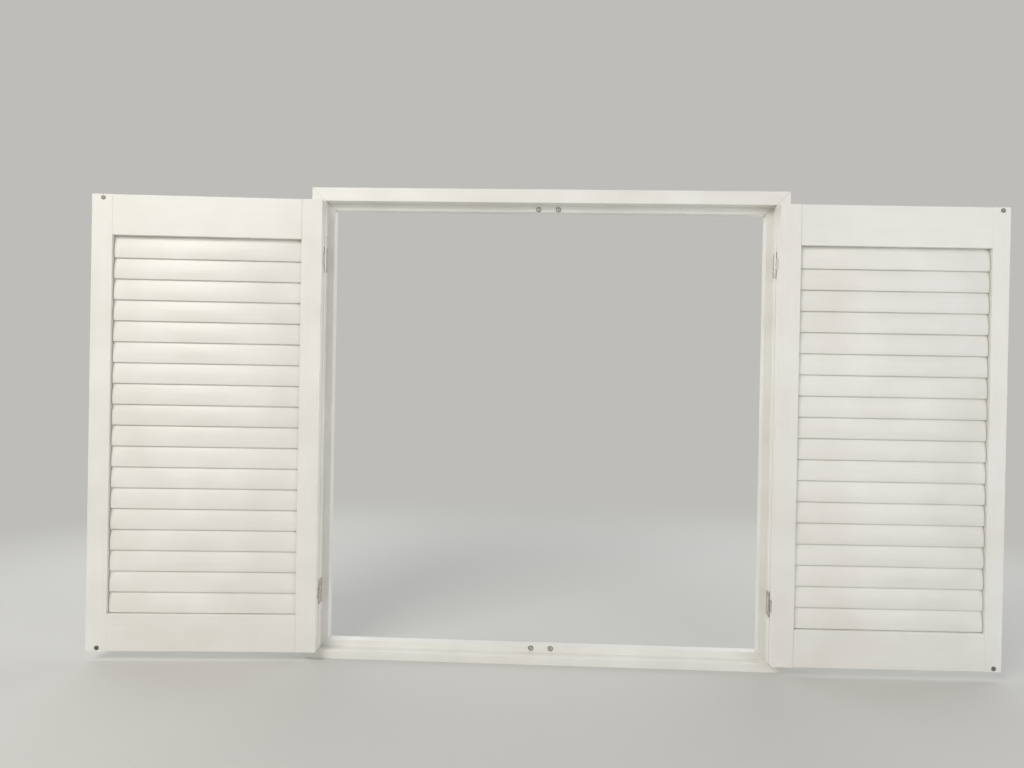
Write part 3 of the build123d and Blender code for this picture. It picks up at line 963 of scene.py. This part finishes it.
@dataclass(frozen=True)
class TiltRod:
    """Upright rod of one leaf, with a wire staple linked through the staple of each blade.

    Attributes:
        chamfer: How far the rounding of the rod's ends reaches.
        easing: Shape of that rounding, in shares of it.
        top_overrun: How far the rod reaches above its top link.
        bottom_overrun: How far it reaches below its bottom link.
        standoff: Distance from the line of the linked staples to the rod's back.
        link_reach: How far a link's wire stands from that line, above, below and beyond it.
        link_embed: How far a link's legs run into the rod.
    """

    leaf: LeafPlace
    width: float = 14 * MM
    thickness: float = 10 * MM
    front_round: float = 3.5 * MM
    back_round: float = 0.8 * MM
    chamfer: float = 1 * MM
    easing: tuple[tuple[float, float], ...] = ((0.0, 1.0), (0.25, 0.45), (0.65, 0.12), (1.0, 0.0))
    top_overrun: float = 15 * MM
    bottom_overrun: float = 30 * MM
    standoff: float = 3.2 * MM
    link_reach: float = 1.7 * MM
    link_embed: float = 6 * MM
    link_bend: float = 1.3 * MM
    wire: float = 0.6 * MM

    def outline(self, inset: float) -> np.ndarray:
        """Section of the rod, scaled about its own middle so that its flats also come in by the inset.

        Args:
            inset: How far the section is drawn in.

        Returns:
            Points of (across, from front to back).
        """
        section = rounded_section(self.width, self.thickness, self.front_round, self.back_round, inset)
        middle = np.array((0.0, -self.thickness / 2))
        size = np.array((self.width, self.thickness))
        span = section.max(axis=0) - section.min(axis=0)
        return middle + (section - middle) * (size - 2 * inset) / span

    def build(self) -> None:
        """Build the rod and its links."""
        leaf, node = self.leaf, f"{self.leaf.name}_tilt_rod"
        levels = np.array([pivot_of(slat)[2] for slat in leaf.slats])
        centres = pivot_of(node) + (levels - levels[LEAD_LOUVRE - 1])[:, None] * UP
        length = levels[-1] - levels[0] + self.top_overrun + self.bottom_overrun
        middle = centres[0] + (length / 2 - self.bottom_overrun) * UP - self.standoff * leaf.depth
        rings = eased_prism(self.outline, self.chamfer, self.easing, length)
        shell = Shell()
        shell.add(place_on(middle, leaf.along, leaf.depth, UP, rings))
        root = -(self.standoff + self.link_embed) * leaf.depth
        rise, out = self.link_reach * UP, self.link_reach * leaf.depth
        link = np.stack((root + rise, out + rise, out - rise, root - rise))
        for centre in centres:
            shell.add(bent_wire(centre + link, self.link_bend, self.wire, leaf.along), finish=1)
        piece = shell.piece(node + "_dressed", [leaf_paint(leaf, Grain.UPRIGHT), WIRE.material()])
        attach(piece, node)
        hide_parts(node)
        LOG.info("%s tilt rod", leaf.name)


@dataclass(frozen=True)
class Screws:
    """Countersunk cross-head screws, all those of one node in one piece.

    Attributes:
        tip_length: From the point to where the full thread starts.
        face_steps: Radii of the rings of the head's face, as shares of the head's own.
        flank_run: Share of half an arm's width over which the cross runs out at its flanks.
        arm_run: Share of an arm's length over which it runs out at its end.
        turn_step: Angle in radians from one screw's cross to the next.
    """

    around: int = 32
    head_radius: float = 2.6 * MM
    head_height: float = 1.2 * MM
    rim_ease: float = 0.1 * MM
    dome: float = 0.18 * MM
    shank_radius: float = 1.4 * MM
    thread_depth: float = 0.3 * MM
    thread_pitch: float = 1.3 * MM
    thread_rings: int = 44
    length: float = 14 * MM
    tip_length: float = 1.6 * MM
    point_radius: float = 0.1 * MM
    tip_radius: float = 0.7 * MM
    tip_rise: float = 0.8 * MM
    recess_arm: float = 1.55 * MM
    recess_half: float = 0.36 * MM
    recess_depth: float = 0.9 * MM
    flank_run: float = 0.35
    arm_run: float = 0.5
    face_steps: tuple[float, ...] = (0.94, 0.8, 0.66, 0.58, 0.5, 0.42, 0.32, 0.22, 0.12, 0.04)
    turn_step: float = 0.7

    def shank_rings(self) -> np.ndarray:
        """Rings of the tip, the threaded shank and the countersink.

        The shank's radius is its own less the thread depth times the square root of the absolute sine
        of half the turn that the helix has made there, so that sharp ridges wind round it.

        Returns:
            Rings of local points, with the head's rim at height zero.
        """
        angle = even_angles(self.around)
        threaded = self.length - self.tip_length - self.head_height
        height = (-self.length + self.tip_length + np.linspace(0, 1, self.thread_rings) * threaded)[:, None]
        winding = height / self.thread_pitch * math.pi - angle / 2
        radius = self.shank_radius - self.thread_depth * np.sqrt(np.abs(np.sin(winding)))
        shank = np.stack((radius * np.cos(angle), radius * np.sin(angle), height + 0 * angle), axis=-1)
        tip = np.array(((self.point_radius, -self.length), (self.tip_radius, -self.length + self.tip_rise)))
        cone = np.array(((self.shank_radius, -self.head_height),
                         (self.head_radius - self.rim_ease, -self.rim_ease), (self.head_radius, 0.0)))
        return np.concatenate((lathe(tip, self.around), shank, lathe(cone, self.around)))

    def face_rings(self) -> np.ndarray:
        """Rings of the head's face, from its rim to the middle of its recess.

        The face is a shallow dome, from which a cross is sunk. The cross is deepest in the middle and
        its depth runs out towards the ends and flanks of its arms.

        Returns:
            Rings of local points, with the head's rim at height zero.
        """
        angle = even_angles(self.around)
        spread = self.head_radius * np.array(self.face_steps)[:, None]
        x, y = spread * np.cos(angle), spread * np.sin(angle)
        arm = np.maximum(np.abs(x), np.abs(y))
        flank = np.minimum(np.abs(x), np.abs(y))
        inside = np.clip((self.recess_half - flank) / (self.flank_run * self.recess_half), 0, 1)
        along = np.clip((self.recess_arm - arm) / (self.arm_run * self.recess_arm), 0, 1)
        sunk = self.recess_depth * inside * along
        z = self.dome * (1 - (spread / self.head_radius) ** 2) - sunk
        return np.stack((x, y, z), axis=-1)

    def build(self, node: str, body: str, heads: list[tuple[np.ndarray, np.ndarray]]) -> None:
        """Build one piece of screws.

        Args:
            node: The node that the piece stands for.
            body: The body that it rides on.
            heads: For each screw, the middle of its head and the direction that the head faces.
        """
        shell, rings = Shell(), np.concatenate((self.shank_rings(), self.face_rings()))
        for number, (middle, out) in enumerate(heads):
            turn = self.turn_step * number
            flat = np.cross(UP, out)
            across = math.cos(turn) * flat + math.sin(turn) * UP
            shell.add(place_on(middle, across, np.cross(out, across), out, rings))
        piece = shell.piece(node + "_cross_head", [ZINC.material()])
        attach(piece, body)
        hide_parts(node)
        LOG.info("%s: %d", node, len(heads))


@dataclass(frozen=True)
class Hardware:
    """Hinge pins, catch magnets, strikes and the screws that hold them.

    Attributes:
        hinge_from_end: Distance from an end of a leaf to the middle of its hinge.
        hinge_gap: Distance between a leaf's edge and its jamb.
        plate: Thickness of the hinge's plates.
        dome_share: Share of a pin head's height that is its dome.
        dome_sweep: Angle that the dome's profile sweeps, short of a right angle.
        large_screw_y: Where the screws of the jamb's plates stand in depth.
        large_screw_spread: Distance between the two screws of such a plate.
        small_screw_depth: How far the screws of the leaf's plates stand behind the hinge axis.
        small_screw_spread: Distance between the two screws of such a plate.
        catch_from_centre: Distance from the middle of the frame to a catch.
        stop_y: Where the faces of the stops lie in depth.
        magnet_inset: Distance from the opening's edge to the middle of a magnet.
        cup_rim: Steps of the cup's rim, from its wall over its lip down into the ring groove.
        pole_rim: Steps of the pole's rim, from the groove to the pole's face.
        pole_low: Level at which the pole starts, inside the cup.
        sink_radius: Radius, at the pole's face, of the countersink for its screw.
        sink_depth: Depth of that countersink below the top.
        strike_rim: Steps of a strike's bevelled rim.
        strike_dish: Radius of each point of a strike's dish, and how far it is below the top, in
            millimetres.
        outer_face: How far the leaf's outer side lies behind the hinge axis.
    """

    leaves: tuple[LeafPlace, ...]
    opening: Opening
    hinge_from_end: float = 150 * MM
    hinge_gap: float = 3 * MM
    plate: float = 1.2 * MM
    pin_radius: float = 1.5 * MM
    pin_length: float = 64 * MM
    pin_ease: float = 0.3 * MM
    pin_sides: int = 24
    pin_head_radius: float = 2.4 * MM
    pin_head_height: float = 1.2 * MM
    dome_share: float = 0.65
    dome_sweep: float = 0.47 * math.pi
    dome_points: int = 7
    large_screw_y: float = -9.1 * MM
    large_screw_spread: float = 47.5 * MM
    small_screw_depth: float = 10.6 * MM
    small_screw_spread: float = 18 * MM
    catch_from_centre: float = 26 * MM
    stop_y: float = 11 * MM
    magnet_inset: float = 11 * MM
    magnet_radius: float = 6.5 * MM
    magnet_height: float = 1.8 * MM
    magnet_sides: int = 40
    cup_bore: float = 2.4 * MM
    cup_rim: tuple[tuple[float, float], ...] = (
        (0, 0.5), (0.15, 0.15), (0.5, 0), (1.1, 0), (1.25, 0.15), (1.25, 0.35))
    pole_bore: float = 1.6 * MM
    pole_low: float = 0.3 * MM
    pole_rim: tuple[tuple[float, float], ...] = ((1.6, 0.12), (1.75, 0.04))
    sink_radius: float = 2.8 * MM
    sink_depth: float = 1.2 * MM
    strike_radius: float = 6 * MM
    strike_height: float = 1 * MM
    strike_inset: float = 8.5 * MM
    strike_sides: int = 36
    strike_rim: tuple[tuple[float, float], ...] = ((0, 0.4), (0.12, 0.15), (0.4, 0))
    strike_dish: tuple[tuple[float, float], ...] = (
        (2.9, 0), (2.6, 0.1), (2.4, 0.35), (2.2, 0.35), (2.0, 0.12), (1.2, 0.04), (0.4, 0))
    outer_face: float = 31.2 * MM

    def build_pins(self) -> None:
        """Hinge pins: a shank, and a domed head whose height falls off as a quarter ellipse."""
        sweep = np.linspace(0, self.dome_sweep, self.dome_points)
        wall = (1 - self.dome_share) * self.pin_head_height
        rise = self.dome_share * self.pin_head_height
        dome = np.stack((self.pin_head_radius * np.cos(sweep), wall + rise * np.sin(sweep)), axis=-1)
        shank = np.array(((self.pin_radius - self.pin_ease, -self.pin_length),
                          (self.pin_radius, -self.pin_length + self.pin_ease),
                          (self.pin_radius, 0.0), (self.pin_head_radius, 0.0)))
        rings = lathe(np.vstack((shank, dome)), self.pin_sides)
        shell = Shell()
        for leaf in self.leaves:
            for level in leaf.hinge_levels(self.hinge_from_end):
                top = leaf.at(0, 0, level + self.pin_length / 2)
                shell.add(place_on(top, RIGHT, BACKWARD, UP, rings))
        piece = shell.piece("hinge_pins_domed", [HINGE.material()])
        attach(piece, "frame")
        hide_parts("hinge_pins")
        LOG.info("hinge pins")

    def catch_places(self) -> list[np.ndarray]:
        """Middles of the magnets' backs, on the stops of the head and the sill.

        Returns:
            The two on the sill, then the two on the head.
        """
        levels = (self.opening.low + self.magnet_inset, self.opening.high - self.magnet_inset)
        return [np.array((side * self.catch_from_centre, self.stop_y, level))
                for level in levels for side in (-1, 1)]

    def magnet_profiles(self) -> tuple[np.ndarray, np.ndarray]:
        """Profiles of a catch magnet, each closed to its own start.

        Returns:
            The rolled cup with its ring groove, and the pole, sunk for its screw.
        """
        radius, height = self.magnet_radius, self.magnet_height
        rim = turned_rim(radius, height, self.cup_rim)
        wall, groove = rim[-1]
        cup = [(self.cup_bore, 0.0), (radius, 0.0), *rim, (self.cup_bore, groove)]
        face = turned_rim(radius, height, self.pole_rim)
        pole = [(self.pole_bore, self.pole_low), (wall, self.pole_low), *face,
                (self.sink_radius, face[-1][1]), (self.pole_bore, height - self.sink_depth)]
        return np.array(cup + cup[:1]), np.array(pole + pole[:1])

    def build_magnets(self) -> None:
        """Catch magnets: a cup and a pole each, facing the room."""
        over = np.cross(FORWARD, RIGHT)
        shell = Shell()
        for middle in self.catch_places():
            for finish, profile in enumerate(self.magnet_profiles()):
                rings = lathe(profile, self.magnet_sides)
                shell.add(place_on(middle, RIGHT, over, FORWARD, rings), finish)
        piece = shell.piece("catch_magnets_cupped", [CUP.material(), POLE_FACE.material()])
        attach(piece, "frame")
        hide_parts("catch_magnets")
        LOG.info("catch magnets")

    def build_strikes(self, leaf: LeafPlace) -> None:
        """Build a leaf's strike discs: a bevelled plate, with a shallow dish and a centre nub.

        Args:
            leaf: The leaf that carries them.
        """
        radius, height = self.strike_radius, self.strike_height
        rim = turned_rim(radius, height, self.strike_rim)
        dish = [(place * MM, height - below * MM) for place, below in self.strike_dish]
        rings = lathe(np.array([(radius, 0.0), *rim, *dish]), self.strike_sides)
        shell = Shell()
        reach = abs(leaf.hinge[0]) - self.catch_from_centre
        for level in (leaf.low + self.strike_inset, leaf.high - self.strike_inset):
            middle = leaf.at(reach, self.outer_face, level)
            shell.add(place_on(middle, leaf.along, np.cross(leaf.depth, leaf.along), leaf.depth, rings))
        piece = shell.piece(f"{leaf.name}_strikes_dished", [STRIKE.material()])
        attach(piece, f"{leaf.name}_panel")
        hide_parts(f"{leaf.name}_strikes")
        LOG.info("%s strikes", leaf.name)

    def build_screws(self) -> None:
        """Screws of the frame and of both leaves."""
        heads = [(place + self.magnet_height * FORWARD, FORWARD) for place in self.catch_places()]
        for leaf in self.leaves:
            side = math.copysign(1.0, leaf.hinge[0])
            inward = np.array((-side, 0.0, 0.0))
            face_x = leaf.hinge[0] + side * (self.hinge_gap / 2 - self.plate)
            own = []
            for level in leaf.hinge_levels(self.hinge_from_end):
                for end in (-0.5, 0.5):
                    large = np.array((face_x, self.large_screw_y, level + end * self.large_screw_spread))
                    heads.append((large, inward))
                    small = leaf.at(self.hinge_gap / 2 - self.plate, self.small_screw_depth,
                                    level + end * self.small_screw_spread)
                    own.append((small, -leaf.along))
            Screws().build(f"{leaf.name}_hinge_screws", f"{leaf.name}_panel", own)
        Screws().build("frame_screws", "frame", heads)

    def build(self) -> None:
        """Build every piece of hardware."""
        self.build_pins()
        self.build_magnets()
        for leaf in self.leaves:
            self.build_strikes(leaf)
        self.build_screws()


# Studio


def standing(across: np.ndarray, over: np.ndarray, back: np.ndarray,
             place: tuple[float, float, float]) -> Matrix:
    """Matrix that stands an object at a place, with its own three axes in these directions.

    Args:
        across: Direction of its first axis.
        over: Direction of its second.
        back: Direction of its third, away from what it looks at.
        place: Where it stands.

    Returns:
        The matrix.
    """
    turn = np.eye(4)
    turn[:3, :3] = np.stack((across, over, back), axis=1)
    turn[:3, 3] = place
    return Matrix(turn.tolist())


@dataclass(frozen=True)
class Lamp:
    """One soft rectangular lamp.

    Attributes:
        name: Name of the lamp.
        place: Where it stands.
        size: Its width and height.
        power: Its power in watts.
        colour: Its colour as sRGB hex.
        target: What it faces.
    """

    name: str
    place: tuple[float, float, float]
    size: tuple[float, float]
    power: float
    colour: str
    target: tuple[float, float, float] = (0, 0, 0.6)

    def add(self) -> None:
        """Add the lamp to the scene, turned so that its back points away from what it faces."""
        data = bpy.data.lights.new(self.name, "AREA")
        data.shape = "RECTANGLE"
        data.size, data.size_y = self.size
        data.energy = self.power
        data.color = linear(self.colour)[:3]
        back = np.array(self.place) - np.array(self.target)
        back /= np.linalg.norm(back)
        across = np.cross(UP, back)
        across /= np.linalg.norm(across)
        lamp = add_object(self.name, data)
        lamp.matrix_world = standing(across, np.cross(back, across), back, self.place)


@dataclass(frozen=True)
class Studio:
    """A plain round dish to stand in, soft lamps, and the camera at the photograph's viewing angle."""

    paper: SeamlessPaper = SeamlessPaper()
    floor_rings: tuple[float, ...] = (0.02, 1.2, 2.4)
    flat_radius: float = 3.7
    wall_radius: float = 5.6
    curve_height: float = 2.2
    wall_height: float = 3.4
    around: int = 96
    curve_points: int = 24
    lamps: tuple[Lamp, ...] = (
        Lamp("key", (-2.1, -3.0, 2.9), (2.4, 2.0), 90, "#FFFCF6"),
        Lamp("fill", (2.7, -3.0, 1.3), (2.4, 2.0), 36, "#F7F9FF"),
        Lamp("behind_left", (-2.3, 1.9, 1.6), (3.4, 2.8), 44, "#F8FAFF"),
        Lamp("behind_right", (2.3, 1.9, 1.6), (3.4, 2.8), 44, "#F8FAFF"),
    )
    sky: str = "#F1F3F6"
    sky_strength: float = 0.33
    eye: tuple[float, float, float] = (-13.04 * MM, -2008.84 * MM, 744.21 * MM)
    yaw: float = 2.142
    pitch: float = -0.293
    roll: float = -1.049
    lens: float = 26.744
    sensor: float = 36.0

    def build_dish(self) -> None:
        """Floor and backdrop in one: flat, then a quarter ellipse up to an upright wall.

        At angle a from the flat, the ellipse stands at the flat radius plus its width times sin a,
        and at its height times one less cos a.
        """
        sweep = np.linspace(0, math.pi / 2, self.curve_points)
        curve = self.flat_radius + (self.wall_radius - self.flat_radius) * np.sin(sweep)
        rise = self.curve_height * (1 - np.cos(sweep))
        radius = np.concatenate((self.floor_rings, curve, (self.wall_radius,)))
        height = np.concatenate((np.zeros(len(self.floor_rings)), rise, (self.wall_height,)))
        grid = lathe(np.stack((radius, height), axis=-1), self.around)
        corner = np.arange(len(radius) * self.around).reshape(len(radius), self.around)
        following = np.roll(corner, -1, axis=1)
        quads = np.stack((corner[:-1], corner[1:], following[1:], following[:-1]), axis=-1).reshape(-1, 4)
        mesh = bpy.data.meshes.new("studio_dish")
        mesh.from_pydata(grid.reshape(-1, 3).tolist(), [], quads.tolist() + [corner[0].tolist()])
        mesh.shade_smooth()
        mesh.materials.append(self.paper.material())
        dish = add_object("studio_dish", mesh)

    def build_light(self) -> None:
        """Key and fill from the room side, two lamps behind, and an even sky."""
        for lamp in self.lamps:
            lamp.add()
        world = bpy.data.worlds.new("studio_sky")
        world.use_nodes = True
        tree = world.node_tree
        tree.nodes.clear()
        sky = add_node(tree, "ShaderNodeBackground",
                       {"Color": linear(self.sky), "Strength": self.sky_strength})
        even = add_node(tree, "ShaderNodeBackground", {"Color": linear(BACKDROP), "Strength": 1.0})
        mix = add_node(tree, "ShaderNodeMixShader",
                       links={0: seen_ray(tree), 1: sky.outputs["Background"],
                              2: even.outputs["Background"]})
        add_node(tree, "ShaderNodeOutputWorld", links={"Surface": mix.outputs["Shader"]})
        bpy.context.scene.world = world

    def build_camera(self) -> None:
        """Camera turned by its yaw from straight ahead, then pitched and rolled."""
        yaw, pitch, roll = (math.radians(angle) for angle in (self.yaw, self.pitch, self.roll))
        ahead = np.array((-math.sin(yaw), math.cos(yaw), 0.0))
        right = np.array((math.cos(yaw), math.sin(yaw), 0.0))
        down = -UP
        looking = math.cos(pitch) * ahead - math.sin(pitch) * down
        dropped = math.cos(pitch) * down + math.sin(pitch) * ahead
        across = math.cos(roll) * right + math.sin(roll) * dropped
        below = math.cos(roll) * dropped - math.sin(roll) * right
        data = bpy.data.cameras.new("camera")
        data.sensor_fit = "HORIZONTAL"
        data.sensor_width = self.sensor
        data.lens = self.lens
        camera = add_object("camera", data)
        camera.matrix_world = standing(across, -below, -looking, self.eye)
        bpy.context.scene.camera = camera

    def build(self) -> None:
        """Set up the studio."""
        self.build_camera()
        self.build_dish()
        self.build_light()
        bpy.context.scene.view_settings.view_transform = "Standard"
        LOG.info("studio")


def main() -> None:
    """Build the shutters and the studio in order."""
    logging.basicConfig(level=logging.INFO, format="%(message)s")
    leaves = tuple(LeafPlace.read(hand) for hand in Hand)
    opening = Opening.read()
    Studio().build()
    Joinery(leaves, opening).dress()
    for leaf in leaves:
        LouvreBlades(leaf).build()
        TiltRod(leaf).build()
    Hardware(leaves, opening).build()


if __name__ == "__main__":
    main()
